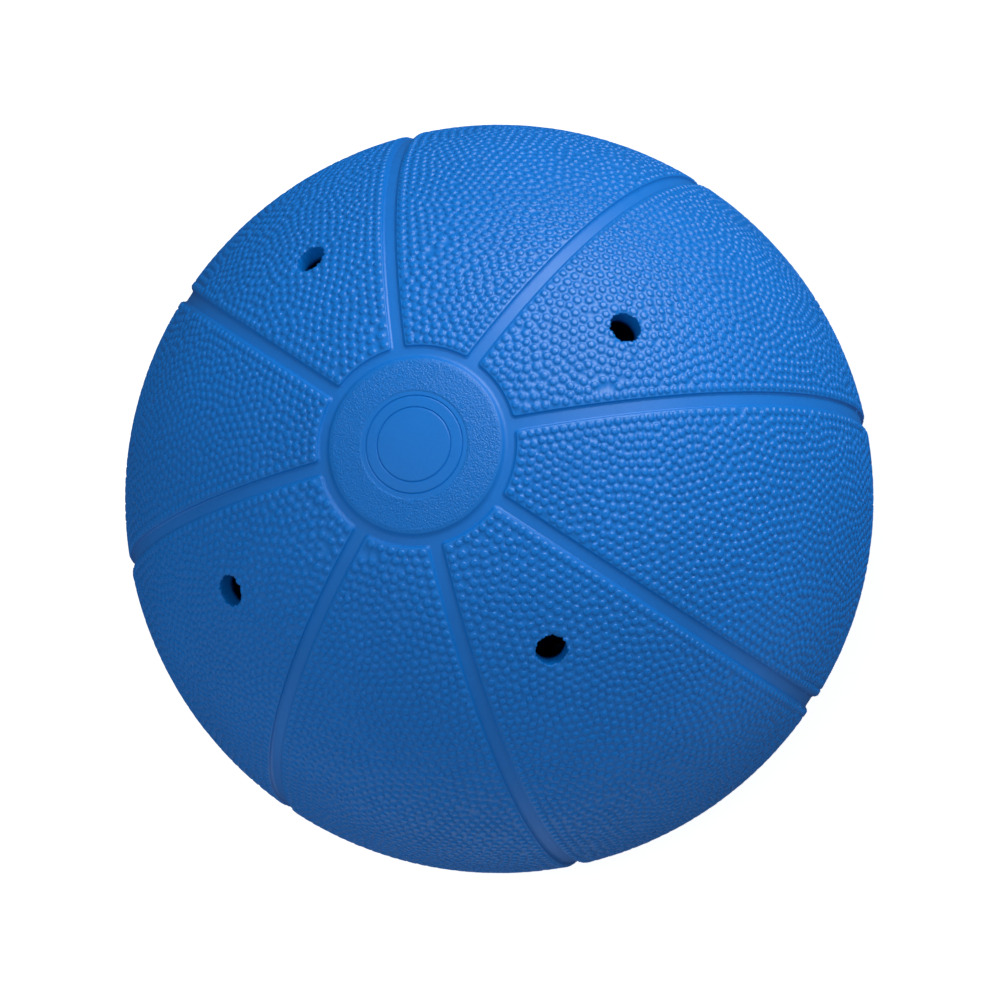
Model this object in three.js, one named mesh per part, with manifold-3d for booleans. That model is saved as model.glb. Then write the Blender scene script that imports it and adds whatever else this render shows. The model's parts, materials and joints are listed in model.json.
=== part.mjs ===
// Goalball: a hollow moulded rubber ball in two halves, with two loose jingle bells inside.
// Millimetres. The origin is the ball's centre and +Z runs through the upper smooth end disc.
import * as THREE from 'three';
import { mergeVertices } from 'three/addons/utils/BufferGeometryUtils.js';
import Module from 'manifold-3d';

const wasm = await Module();
wasm.setup();

// Ball: the crest radius is over the grip pattern and makes 760 mm round the ball
const crestRadius = 121;
const wallThickness = 6.5;
const hollowRadius = crestRadius - wallThickness;

// Seam channels: eight on each half, from the end disc's groove down to the parting line
const channelCount = 8;
const channelTopWidth = 4.6;
const channelFloorWidth = 4.0;
const channelDepth = 1.55;
const channelFloorRadius = crestRadius - channelDepth;

// End disc with the ring groove round it
const discDiameter = 54.6;
const discDrop = 0.3;
const grooveWidth = 4.1;
const grooveDraft = 0.3;

// Parting groove where the two halves are joined
const partingHalfWidth = 0.45;
const partingDepth = 0.7;

// Sound holes: four on each half, in every other panel, a little off the panel's middle
const holeDiameter = 10;
const holePolarDegrees = [38.3, 39.0, 36.7, 36.6];
const holeOffMiddleDegrees = -1.7;

// Jingle bells
const bellCount = 2;
const bellDiameter = 34;
const bellSheet = 0.8;
const bellFlangeWidth = 1.2;
const bellFlangeThickness = 0.9;
const bellApart = 39;
const slotArmCount = 4;
const slotTurnDegrees = 45;
const slotWidth = 2.4;
const slotEndDiameter = 4.6;
const slotEndPolarDegrees = 52;
const pelletDiameter = 9;
const loopWidth = 9;
const loopHeight = 8;
const loopWire = 1.6;

// Gaps between pieces that touch on the real ball
const restGap = 0.3;
const sheetGap = 0.3;

// How far a cutting body reaches past the face that it cuts through
const cutterReach = 1.5;

// Facets
const ballSegments = 48;
const crestStepDegrees = 6.25;
const hollowSegments = 40;
const hollowRings = 10;
const channelSegments = 56;
const holeSegments = 20;
const bellSegments = 20;
const bellRings = 5;
const pelletSegments = 14;
const pelletRings = 8;
const slotEndSegments = 12;
const loopArchSteps = 8;
const loopSteps = 14;
const loopSectionSteps = 4;

const rubber = new THREE.MeshStandardMaterial({ color: 0x1b62b8, roughness: 0.55, metalness: 0 });
const bellSteel = new THREE.MeshStandardMaterial({ color: 0xb9b6ab, roughness: 0.3, metalness: 1 });
const pelletSteel = new THREE.MeshStandardMaterial({ color: 0x8d9095, roughness: 0.35, metalness: 1 });

const radians = THREE.MathUtils.degToRad;

// A closed three.js geometry as a solid: positions only, shared vertices merged, collapsed faces left out
function solidOf(geometry) {
  const bare = new THREE.BufferGeometry();
  bare.setAttribute('position', geometry.getAttribute('position').clone());
  if (geometry.index) bare.setIndex(geometry.index.clone());
  const merged = mergeVertices(bare, 1e-4);
  const corners = merged.index.array;
  const kept = [];
  for (let i = 0; i < corners.length; i += 3) {
    const [a, b, c] = [corners[i], corners[i + 1], corners[i + 2]];
    if (a !== b && b !== c && c !== a) kept.push(a, b, c);
  }
  const mesh = new wasm.Mesh({
    numProp: 3,
    vertProperties: new Float32Array(merged.getAttribute('position').array),
    triVerts: new Uint32Array(kept),
  });
  mesh.merge();
  return new wasm.Manifold(mesh);
}

function geometryOf(solid) {
  const mesh = solid.getMesh();
  const geometry = new THREE.BufferGeometry();
  geometry.setAttribute('position', new THREE.BufferAttribute(mesh.vertProperties, 3));
  geometry.setIndex(new THREE.BufferAttribute(mesh.triVerts, 1));
  geometry.computeVertexNormals();
  return geometry;
}

// A profile of [radius, height] points turned about +Z
function turned(points, segments) {
  const profile = points.map(([radius, height]) => new THREE.Vector2(radius, height));
  return new THREE.LatheGeometry(profile, segments).rotateX(Math.PI / 2);
}

// Points of an arc about the origin, from one polar angle to another, both in degrees from +Z
function arc(radius, fromDegrees, toDegrees, steps) {
  const points = [];
  for (let i = 0; i <= steps; i += 1) {
    const polar = radians(fromDegrees + ((toDegrees - fromDegrees) * i) / steps);
    const onAxis = Math.abs(Math.sin(polar)) < 1e-9;
    points.push([onAxis ? 0 : radius * Math.sin(polar), radius * Math.cos(polar)]);
  }
  return points;
}

function polarOf(distanceFromAxis, radius) {
  return THREE.MathUtils.radToDeg(Math.asin(distanceFromAxis / radius));
}

// Vertex radius that keeps the flat facets of a hollow sphere outside its true radius
function roundedOut(radius, segments, rings) {
  return radius / (Math.cos(Math.PI / segments) * Math.cos(Math.PI / (4 * rings)));
}

// The upper half before its channels and holes are cut, as one turned profile
function plainHalf() {
  const discRadius = discDiameter / 2;
  const grooveRadius = discRadius + grooveWidth;
  const discTopRadius = crestRadius - discDrop;
  const crestStart = polarOf(grooveRadius, crestRadius);
  const crestEnd = 90 - polarOf(partingHalfWidth, crestRadius);
  const crestSteps = Math.round((crestEnd - crestStart) / crestStepDegrees);
  const discSteps = Math.max(2, Math.round(polarOf(discRadius, crestRadius) / crestStepDegrees));
  const hollowVertexRadius = roundedOut(hollowRadius, hollowSegments, hollowRings);
  const outer = turned([
    ...arc(discTopRadius, 0, polarOf(discRadius, discTopRadius), discSteps),
    ...arc(
      channelFloorRadius,
      polarOf(discRadius + grooveDraft, channelFloorRadius),
      polarOf(grooveRadius - grooveDraft, channelFloorRadius),
      1,
    ),
    ...arc(crestRadius, crestStart, crestEnd, crestSteps),
    [crestRadius - partingDepth, 0],
    [0, 0],
  ].reverse(), ballSegments);
  const hollow = turned([
    ...arc(hollowVertexRadius, 0, 90, hollowRings),
    [hollowVertexRadius, -cutterReach],
    [0, -cutterReach],
  ].reverse(), hollowSegments);
  return solidOf(outer).subtract(solidOf(hollow));
}

// Four rings with sloped sides, each crossing the half along two opposite channels
function channelCutter() {
  const sideSlope = (channelTopWidth - channelFloorWidth) / 2 / channelDepth;
  const floorHalf = channelFloorWidth / 2;
  const outerHalf = channelTopWidth / 2 + sideSlope * cutterReach;
  const outerRadius = crestRadius + cutterReach;
  const ring = new THREE.LatheGeometry([
    new THREE.Vector2(channelFloorRadius, -floorHalf),
    new THREE.Vector2(outerRadius, -outerHalf),
    new THREE.Vector2(outerRadius, outerHalf),
    new THREE.Vector2(channelFloorRadius, floorHalf),
    new THREE.Vector2(channelFloorRadius, -floorHalf),
  ], channelSegments);
  const turnStep = (2 * Math.PI) / channelCount;
  let rings = solidOf(ring);
  for (let i = 1; i < channelCount / 2; i += 1) {
    rings = rings.add(solidOf(ring.clone().rotateZ(i * turnStep)));
  }
  const keptRadius = (discDiameter + grooveWidth) / 2;
  const keptLength = 2 * (crestRadius + 2 * cutterReach);
  const keptDisc = new THREE.CylinderGeometry(keptRadius, keptRadius, keptLength, ballSegments);
  return rings.subtract(solidOf(keptDisc.rotateX(Math.PI / 2)));
}

function holeCutter() {
  const panelAngle = (2 * Math.PI) / channelCount;
  const firstHole = panelAngle / 2 + radians(holeOffMiddleDegrees);
  const radius = holeDiameter / 2;
  const length = 4 * wallThickness;
  let cutter = null;
  for (let i = 0; i < holePolarDegrees.length; i += 1) {
    const bore = new THREE.CylinderGeometry(radius, radius, length, holeSegments)
      .rotateX(Math.PI / 2)
      .translate(0, 0, crestRadius)
      .rotateY(radians(holePolarDegrees[i]))
      .rotateZ(firstHole + (i * 2 * Math.PI) / holePolarDegrees.length);
    cutter = cutter ? cutter.add(solidOf(bore)) : solidOf(bore);
  }
  return cutter;
}

// Both halves come out of the same mould, so the lower one is the upper one turned over
function shells() {
  const half = geometryOf(plainHalf().subtract(channelCutter()).subtract(holeCutter()));
  const upper = new THREE.Mesh(half, rubber);
  upper.name = 'upper_shell';
  const lower = new THREE.Mesh(half.clone(), rubber);
  lower.name = 'lower_shell';
  lower.rotation.x = Math.PI;
  return [upper, lower];
}

// One pressed half of a bell: a dome with a flange on its rim, open side down
function bellDome() {
  const outerRadius = bellDiameter / 2;
  const innerRadius = roundedOut(outerRadius - bellSheet, bellSegments, bellRings);
  const flangeRadius = outerRadius + bellFlangeWidth;
  const rim = sheetGap / 2;
  const flangeTop = rim + bellFlangeThickness;
  const lastPolar = 90 - polarOf(flangeTop, outerRadius);
  const dome = turned([
    ...arc(outerRadius, 0, lastPolar, bellRings),
    [flangeRadius, flangeTop],
    [flangeRadius, rim],
    ...arc(innerRadius, 90 - polarOf(rim, innerRadius), 0, bellRings),
  ].reverse(), bellSegments);
  return solidOf(dome);
}

// Crossed slots with round ends, through the bell's lower half: each arm runs from the middle to its end
function slotCutter() {
  const outerRadius = bellDiameter / 2;
  const endRadius = slotEndDiameter / 2;
  const armLength = outerRadius * Math.sin(radians(slotEndPolarDegrees));
  let cutter = null;
  for (let i = 0; i < slotArmCount; i += 1) {
    const turn = radians(slotTurnDegrees) + (i * 2 * Math.PI) / slotArmCount;
    const arm = new THREE.BoxGeometry(armLength, slotWidth, bellDiameter)
      .translate(armLength / 2, 0, outerRadius)
      .rotateZ(turn);
    const end = new THREE.CylinderGeometry(endRadius, endRadius, outerRadius, slotEndSegments)
      .rotateX(Math.PI / 2)
      .translate(0, 0, outerRadius)
      .rotateY(radians(slotEndPolarDegrees))
      .rotateZ(turn);
    const both = solidOf(arm).add(solidOf(end));
    cutter = cutter ? cutter.add(both) : both;
  }
  return cutter;
}

// The wire loop on a bell's crown: a round arch on two straight legs
function bellLoop() {
  const half = (loopWidth - loopWire) / 2;
  const crown = bellDiameter / 2 + restGap;
  const legFoot = Math.sqrt((bellDiameter / 2) ** 2 - (half - loopWire / 2) ** 2) + restGap;
  const archBase = crown + loopHeight - loopWire / 2 - half;
  const path = new THREE.CurvePath();
  path.add(new THREE.LineCurve3(new THREE.Vector3(-half, 0, legFoot), new THREE.Vector3(-half, 0, archBase)));
  const archPoints = [];
  for (let i = 0; i <= loopArchSteps; i += 1) {
    const turn = Math.PI * (1 - i / loopArchSteps);
    archPoints.push(new THREE.Vector3(half * Math.cos(turn), 0, archBase + half * Math.sin(turn)));
  }
  for (let i = 0; i < loopArchSteps; i += 1) {
    path.add(new THREE.LineCurve3(archPoints[i], archPoints[i + 1]));
  }
  path.add(new THREE.LineCurve3(new THREE.Vector3(half, 0, archBase), new THREE.Vector3(half, 0, legFoot)));
  const section = new THREE.Shape();
  section.absarc(0, 0, loopWire / 2, 0, 2 * Math.PI);
  return solidOf(new THREE.ExtrudeGeometry(section, {
    extrudePath: path,
    steps: loopSteps,
    curveSegments: loopSectionSteps,
    bevelEnabled: false,
  }));
}

// A whole bell about its own centre, with its loop along +Z and its slots below
function bell(number) {
  const group = new THREE.Group();
  const dome = bellDome();
  const pieces = {
    upper_cup: new THREE.Mesh(geometryOf(dome), bellSteel),
    lower_cup: new THREE.Mesh(geometryOf(dome.subtract(slotCutter())), bellSteel),
    loop: new THREE.Mesh(geometryOf(bellLoop()), bellSteel),
    pellet: new THREE.Mesh(geometryOf(pelletBall()), pelletSteel),
  };
  pieces.lower_cup.rotation.x = Math.PI;
  pieces.pellet.position.z = -(bellDiameter / 2 - bellSheet - restGap - pelletDiameter / 2);
  for (const [piece, mesh] of Object.entries(pieces)) {
    mesh.name = `bell_${number}_${piece}`;
    group.add(mesh);
  }
  return group;
}

function pelletBall() {
  return solidOf(new THREE.SphereGeometry(pelletDiameter / 2, pelletSegments, pelletRings).rotateX(Math.PI / 2));
}

const ball = new THREE.Group();
ball.add(...shells());

// The bells lie side by side at the bottom of the hollow, both touching the wall
const bellCentreRadius = hollowRadius - restGap - bellDiameter / 2;
const bellDrop = Math.sqrt(bellCentreRadius ** 2 - (bellApart / 2) ** 2);
for (let i = 0; i < bellCount; i += 1) {
  const placed = bell(i + 1);
  placed.position.set((i - (bellCount - 1) / 2) * bellApart, 0, -bellDrop);
  ball.add(placed);
}

export default ball;
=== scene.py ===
"""The looks of a goalball: a moulded rubber ball with pebbled panels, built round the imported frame.

The ball's frame has its origin at the centre, +Z through the upper end disc and +X along a seam channel.
Both halves come out of one mould, so the lower half is the upper one turned over about X.
"""
import json
import math

import bmesh
import bpy
import numpy as np
from mathutils import Matrix, Vector
from mathutils.geometry import delaunay_2d_cdt

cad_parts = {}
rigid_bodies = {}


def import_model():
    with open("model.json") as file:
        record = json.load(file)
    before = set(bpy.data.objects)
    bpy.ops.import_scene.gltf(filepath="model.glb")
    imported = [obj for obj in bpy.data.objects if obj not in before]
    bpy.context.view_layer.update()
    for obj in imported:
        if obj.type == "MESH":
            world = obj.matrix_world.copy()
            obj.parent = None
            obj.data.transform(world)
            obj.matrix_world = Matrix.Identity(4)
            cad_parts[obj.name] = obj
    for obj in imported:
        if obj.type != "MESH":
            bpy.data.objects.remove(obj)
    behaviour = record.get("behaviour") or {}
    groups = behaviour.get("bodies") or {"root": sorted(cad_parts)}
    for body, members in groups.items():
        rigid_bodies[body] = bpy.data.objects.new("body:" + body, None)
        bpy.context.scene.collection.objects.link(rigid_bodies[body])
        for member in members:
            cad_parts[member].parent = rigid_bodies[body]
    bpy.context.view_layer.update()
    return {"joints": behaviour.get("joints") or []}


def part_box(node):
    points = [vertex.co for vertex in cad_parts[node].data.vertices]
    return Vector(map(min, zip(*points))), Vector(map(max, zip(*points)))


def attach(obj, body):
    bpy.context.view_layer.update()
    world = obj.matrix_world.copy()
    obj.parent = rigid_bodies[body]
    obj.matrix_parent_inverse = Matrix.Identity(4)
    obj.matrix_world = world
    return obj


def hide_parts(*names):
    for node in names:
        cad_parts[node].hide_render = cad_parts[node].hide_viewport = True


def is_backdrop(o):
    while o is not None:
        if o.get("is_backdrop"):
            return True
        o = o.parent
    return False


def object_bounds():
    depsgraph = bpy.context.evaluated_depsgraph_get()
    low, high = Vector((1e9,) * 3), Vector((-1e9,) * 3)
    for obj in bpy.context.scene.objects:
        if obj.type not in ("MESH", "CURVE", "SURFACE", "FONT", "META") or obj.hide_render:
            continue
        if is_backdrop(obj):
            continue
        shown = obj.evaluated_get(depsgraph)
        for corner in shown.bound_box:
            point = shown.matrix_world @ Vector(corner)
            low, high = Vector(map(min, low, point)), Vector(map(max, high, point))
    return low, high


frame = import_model()

MM = 0.001

# Camera, fitted to the photograph's outline, seams and holes
PHOTO_SIZE = 1000
PHOTO_FOCAL = 5941
PHOTO_CENTRE = (499.3, 498.9)
CAMERA_DISTANCE = 1.9207
CAMERA_RIGHT = Vector((-0.18446, -0.95854, -0.21719))
CAMERA_UP = Vector((0.96626, -0.21728, 0.13829))
SENSOR_WIDTH = 36

# Ball
CREST_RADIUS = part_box("upper_shell")[1].x - 0.05 * MM
PEBBLE_HEIGHT = 0.5 * MM
LAND_RADIUS = CREST_RADIUS - PEBBLE_HEIGHT
FLOOR_RADIUS = 119.35 * MM
HOLLOW_RADIUS = 114.5 * MM

# Seam channels and parting groove
CHANNEL_COUNT = 8
CHANNEL_HALF = 2.3 * MM
PARTING_HALF = 0.45 * MM
CORNER_RADIUS = 1.0 * MM
CORNER_POINTS = 6
EDGE_STEP = 0.5 * MM
EDGE_FILLET = 0.25 * MM
EDGE_FILLET_POINTS = 4
TOE_FILLET = 0.8 * MM
TOE_FILLET_POINTS = 6
TOE_END_SLOPE = math.radians(5)
WALL_SLOPE = math.radians(68)
# How far the panels' walls go on down inside the core
WALL_TUCK = 0.35 * MM
# How wide a wall is at the parting groove, as a share of its width elsewhere
PARTING_SHARE = 0.35

# End disc
DISC_RADIUS = 27.3 * MM
DISC_TOP_RADIUS = 120.45 * MM
DISC_TOE_FILLET = 1.5 * MM
DISC_WALL_SLOPE = math.radians(54)
GRAIN_RISE = 0.04 * MM
GROOVE_WIDTH = 4.1 * MM
RING_RADII = (11.5 * MM, 15.1 * MM)
RING_HALF = 0.3 * MM
RING_DEPTH = 0.3 * MM
# A ring's section as (share of its half width, share of its depth)
RING_SECTION = ((-1.6, 0.0), (-1.0, 0.0), (-0.7, 0.35), (0.0, 1.0), (0.7, 0.35), (1.0, 0.0), (1.6, 0.0))
GRAIN_INNER_RADIUS = 16.7 * MM

# The core's turned profile, with rows on the disc by their distance from the axis
DISC_INNER_ROWS = np.linspace(1, 10.5, 10) * MM
DISC_MIDDLE_ROWS = (12.6 * MM, 13.3 * MM, 14.0 * MM)
DISC_OUTER_ROWS = (16.3 * MM, GRAIN_INNER_RADIUS)
DISC_GRAIN_ROWS = np.array([17.3, *np.linspace(18, 25.4, 8)]) * MM
DISC_TOE_MARGIN = 0.3 * MM
FLOOR_ROWS = 64
HOLLOW_ROWS = 28
# Half the gap between the two cores at the equator
HALVES_SPLIT = 0.012 * MM
CORE_SEGMENTS = 384
CORE_SHARP_DEGREES = 50

# Sound holes
HOLE_RADIUS = 5.0 * MM
HOLE_POLAR_DEGREES = (38.3, 39.0, 36.7, 36.6)
HOLE_OFF_MIDDLE_DEGREES = -1.7
HOLE_SEGMENTS = 110
TEAR_WAVES = (7, 12, 19, 28)
TEAR_DEPTH = 0.5 * MM
TEAR_NOISE = 0.1 * MM
TEAR_MARGIN = 0.1 * MM
# Rows down the bore as (share of the way, share of the tear that is left)
BORE_ROWS = ((0.06, 0.6), (0.2, 0.35), (0.45, 0.3), (0.75, 0.2), (1.0, 0.1))
BORE_NOISE = 0.02 * MM
# The panel lines its bore out to this radius, a little way into the core's rubber
SLEEVE_RADIUS = 5.9 * MM
CORE_HOLE_RADIUS = SLEEVE_RADIUS - 0.35 * MM
CORE_HOLE_SEGMENTS = 40

# Pebbles: the profile is (share of the radius, share of the height)
PEBBLE_PITCH = 3.2 * MM
PEBBLE_PROFILE = (
    (0.0, 1.0), (0.58, 0.98), (0.71, 0.92), (0.81, 0.74), (0.88, 0.4), (0.94, 0.03), (1.0, 0.0),
)
PEBBLE_RING_POINTS = (1, 6, 10, 12, 12, 12, 10)
# How far the outermost ring's points are turned about the pebble's middle, in radians
PEBBLE_TWIST = 2.0
PEBBLE_RADIUS = 1.3 * MM
PEBBLE_EDGE_GAP = 0.4 * MM
PEBBLE_GAP = 0.03 * MM
PEBBLE_FILL = 0.99
PEBBLE_JITTER = 0.11 * MM
PEBBLE_SQUEEZE_MOST = 1.06

# How pebbles differ: mean, spread, least and most of a share of the size above
PITCH_SHARES = (1.0, 0.09, 0.84, 1.16)
SIZE_SHARES = (0.98, 0.065, 0.82, 1.1)
HEIGHT_SHARES = (0.95, 0.05, 0.8, 1.0)
SQUEEZE_SHARES = (1.0, 0.03, 1 / PEBBLE_SQUEEZE_MOST, PEBBLE_SQUEEZE_MOST)

# How pebbles settle: the three distances are shares of the pitch
SCATTERED_POINTS = 9000
SCATTER_REACH = 0.45
WANTED_DISTANCE = 1.1
NEIGHBOUR_REACH = 1.5
# After how many steps the neighbours are looked up again
NEIGHBOUR_STEPS = 10
PUSH_SHARE = 0.22
SETTLE_STEPS = 90
JITTER_STEP = SETTLE_STEPS - 2
PANEL_SEED = 11

# The panels' hidden underside
UNDER_STEPS = np.arange(-100, 101, 7.0) * MM
UNDER_EDGE_MARGIN = 2.5 * MM
UNDER_HOLE_MARGIN = 8 * MM

# Jingle bells: two pressed cups, the lower one crimped round the upper one's flange
BELL_RADIUS = 17.0 * MM
BELL_SHEET = 0.8 * MM
BELL_SHARP_DEGREES = 40
CUP_SEGMENTS = 160
DOME_PITCH = 0.9 * MM
DOME_RINGS = np.arange(0.9, 25.5, 0.9) * MM
DOME_SLOT_GAP = 0.45 * MM
DOME_RIM_GAP = 0.4 * MM
SLOT_ARMS = 4
SLOT_WIDTH = 2.4 * MM
SLOT_END_RADIUS = 2.3 * MM
SLOT_END_POLAR = math.radians(52)
SLOT_END_POINTS = 26
SLOT_STEP = 0.4 * MM
SLOT_EDGE_ROUND = 0.2 * MM
SLOT_EDGE_TURNS = np.radians([0, 30, 60, 90])

# The cups' rims: the outer edge's height, then (radius, height) in millimetres, then the inner edge's height
UPPER_RIM = (1.25 * MM, (
    (17.03, 1.0), (17.16, 0.84), (17.4, 0.8), (17.7, 0.8), (17.82, 0.74), (17.87, 0.6), (17.87, 0.2),
    (17.82, 0.06), (17.7, 0.0), (16.5, 0.0), (16.3, 0.05),
), 0.2 * MM)
LOWER_RIM = (1.6 * MM, (
    (17.02, 1.35), (17.16, 1.14), (17.4, 1.06), (17.75, 1.04), (18.0, 0.96), (18.15, 0.78), (18.2, 0.5),
    (18.2, -0.75), (18.12, -1.02), (17.9, -1.2), (17.6, -1.26), (17.4, -1.2), (17.32, -1.08), (17.36, -0.95),
    (17.5, -0.86), (17.8, -0.8), (17.88, -0.6), (17.88, -0.05), (17.7, 0.02), (16.5, 0.02), (16.3, 0.06),
), 0.2 * MM)

# The bells' loops and pellets
WIRE_RADIUS = 0.8 * MM
WIRE_SEGMENTS = 20
LOOP_HALF = 3.7 * MM
LOOP_TOP = 25.3 * MM
LOOP_SINK = 0.5 * MM
LOOP_ARCH_STEPS = 32
# Rows up each foot of the loop as (height in millimetres, share of the wire's radius), for the solder
LOOP_FOOT_ROWS = (
    (0.0, 1.75), (0.35, 1.7), (0.6, 1.35), (0.9, 1.12), (1.3, 1.03), (1.9, 1.0), (2.8, 1.0),
)
PELLET_RADIUS = 4.5 * MM
PELLET_DROP = 11.4 * MM
PELLET_SEGMENTS = 64
PELLET_POLAR_DEGREES = np.concatenate([
    np.linspace(0, 84, 22), [86.5, 88.2, 89.2, 90, 90.8, 91.8, 93.5], np.linspace(96, 180, 22),
])
RIDGE_HEIGHT = 0.05 * MM
RIDGE_HALF_DEGREES = 1.5
DENT_COUNT = 14
# Least and most width and depth of a dent in millimetres, and of a pellet's turn in radians
DENT_WIDTHS = (0.5, 1.1)
DENT_DEPTHS = (0.03, 0.07)
PELLET_TURNS = (0.3, 1.2)
PELLET_SEED = 40

# Noise textures are (scale per metre, detail, roughness), and most of their values lie in this span
NOISE_SPAN = (0.3, 0.7)

# Rubber
RUBBER_DARK = (0.001, 0.135, 0.493)
RUBBER_LIGHT = (0.001, 0.158, 0.570)
RUBBER_CLOUD = (18.0, 4.0, 0.6)
RUBBER_SPECK = (900.0, 2.0, 0.6)
CLOUD_SHARE = 0.7
LAND_ROUGHNESS = 0.36
CREST_ROUGHNESS = 0.28
CHANNEL_ROUGHNESS = 0.44
RUBBER_PATCHES = (160.0, 3.0, 0.6)
PATCH_ROUGHNESS = 0.03

# The rubber's grain, on the panels and on the core
PANEL_GRAIN = (1.0 / (0.45 * MM), 2.0, 0.6)
LAND_GRAIN_SHARE = 0.3
PANEL_BUMP = 0.05 * MM
PANEL_BUMP_STRENGTH = 0.9
CORE_GRAIN = (1.0 / (0.6 * MM), 2.0, 0.55)
CORE_GRAIN_SHARE = 0.12
SANDY_GRAIN = (1.0 / (0.6 * MM), 1.5, 0.6)
SANDY_SHARE = 1.5
SANDY_START = (GRAIN_INNER_RADIUS - 0.2 * MM, GRAIN_INNER_RADIUS + 0.4 * MM)
SANDY_END = (DISC_RADIUS - 1.4 * MM, DISC_RADIUS - 0.2 * MM)
CORE_BUMP = 0.3 * MM

# Steel
BELL_COLOUR = (0.62, 0.6, 0.56)
PELLET_COLOUR = (0.45, 0.46, 0.48)
BELL_WEAR_SCALE = 260.0
PELLET_WEAR_SCALE = 420.0
STEEL_WEAR_SPAN = (0.35, 0.65)
STEEL_LIGHTEN = 1.12
STEEL_DARKEN = 0.72
STEEL_ROUGHNESS = (0.22, 0.42)
STEEL_BUMP = 0.05 * MM
STEEL_BUMP_STRENGTH = 0.5

# Studio
ROOM_LIGHT = 0.43
ROOM_GLOSS = 0.03
FLOOR_HALF = 6.0
FLOOR_DARK = (0.9, 0.9, 0.9)
FLOOR_LIGHT = (0.93, 0.93, 0.93)
FLOOR_MOTTLE = (6.0, 3.0, 0.5)
FLOOR_ROUGHNESS = 0.9
FLOOR_GLOW = 0.62
STUDIO_DISTANCE = 1.6
WHITE = (1.0, 1.0, 1.0)
TABLE_TINT = (0.6, 0.74, 1.0)
# Name, degrees from the camera's axis and round it, size, power and colour,
# whether reflections show it and whether the floor gets it
STUDIO_LIGHTS = (
    ("key", 65, 66, 1.35, 20.5, WHITE, True, False),
    ("table", 118, 268, 1.4, 2.6, TABLE_TINT, True, False),
    ("table_left", 108, 222, 1.4, 1.4, TABLE_TINT, True, False),
    ("table_right", 108, 318, 1.4, 1.4, TABLE_TINT, True, False),
    ("left", 30, 180, 1.2, 5.8, WHITE, False, True),
    ("right", 44, 38, 1.2, 6.8, WHITE, False, True),
)

# Angles of a panel, at the ball's centre
PANEL_HALF_ANGLE = math.pi / CHANNEL_COUNT
PANEL_MIDDLE_POLAR = math.radians(52.5)
INNER_POLAR = math.asin((DISC_RADIUS + GROOVE_WIDTH) / CREST_RADIUS)
OUTER_POLAR = math.acos(PARTING_HALF / LAND_RADIUS)


def unit(vectors):
    return vectors / np.linalg.norm(vectors, axis=-1, keepdims=True)


def on_sphere(polar, azimuth, radius):
    """Points at polar angle from +Z and azimuth from +X."""
    polar, azimuth = np.broadcast_arrays(polar, azimuth)
    sides = np.sin(polar)
    return radius * np.stack([sides * np.cos(azimuth), sides * np.sin(azimuth), np.cos(polar)], -1)


def mesh_object(name, points, face_arrays, material, sharp_degrees=None):
    """An object from points and arrays of faces, each array with its own number of corners."""
    mesh = bpy.data.meshes.new(name)
    corners = np.concatenate([faces.ravel() for faces in face_arrays]).astype(np.int32)
    sizes = np.concatenate([np.full(len(faces), faces.shape[1]) for faces in face_arrays])
    starts = np.concatenate([[0], np.cumsum(sizes)[:-1]]).astype(np.int32)
    mesh.vertices.add(len(points))
    mesh.vertices.foreach_set("co", np.asarray(points, np.float32).ravel())
    mesh.loops.add(len(corners))
    mesh.loops.foreach_set("vertex_index", corners)
    mesh.polygons.add(len(sizes))
    mesh.polygons.foreach_set("loop_start", starts)
    mesh.update(calc_edges=True)
    mesh.validate()
    mesh.shade_smooth()
    if sharp_degrees is not None:
        mesh.set_sharp_from_angle(angle=math.radians(sharp_degrees))
    mesh.materials.append(material)
    made = bpy.data.objects.new(name, mesh)
    bpy.context.scene.collection.objects.link(made)
    return made


# Pebbled panels

SIDE_IN = np.array([
    [math.sin(PANEL_HALF_ANGLE), -math.cos(PANEL_HALF_ANGLE), 0.0],
    [math.sin(PANEL_HALF_ANGLE), math.cos(PANEL_HALF_ANGLE), 0.0],
])
CHART_MIDDLE = on_sphere(PANEL_MIDDLE_POLAR, 0.0, 1.0)
CHART_ACROSS = np.array([0.0, 1.0, 0.0])
CHART_UP = np.array([-math.cos(PANEL_MIDDLE_POLAR), 0.0, math.sin(PANEL_MIDDLE_POLAR)])


def to_chart(points):
    """Points near a panel on a flat chart that keeps angles."""
    way = unit(points)
    lift = 2 * LAND_RADIUS / (1 + way @ CHART_MIDDLE)
    return np.stack([way @ CHART_ACROSS * lift, way @ CHART_UP * lift], -1)


def from_chart(flat):
    reach = flat / (2 * LAND_RADIUS)
    spread = (reach ** 2).sum(-1, keepdims=True)
    way = CHART_MIDDLE * (1 - spread) + 2 * reach[:, :1] * CHART_ACROSS + 2 * reach[:, 1:] * CHART_UP
    return LAND_RADIUS * way / (1 + spread)


def end_distances(points):
    """How far inside the panel's inner and outer end each point lies."""
    polar = np.arccos(np.clip(points[:, 2] / np.linalg.norm(points, axis=1), -1, 1))
    return LAND_RADIUS * (polar - INNER_POLAR), LAND_RADIUS * (OUTER_POLAR - polar)


def edge_distance(points):
    """How far inside the panel's nearest edge each point lies."""
    sides = (points @ SIDE_IN.T).min(1) - CHANNEL_HALF
    return np.minimum(sides, np.minimum(*end_distances(points)))


def varied(rng, count, mean, spread, least, most):
    """Random shares about a mean, held within limits."""
    return np.clip(rng.normal(mean, spread, count), least, most)


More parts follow.
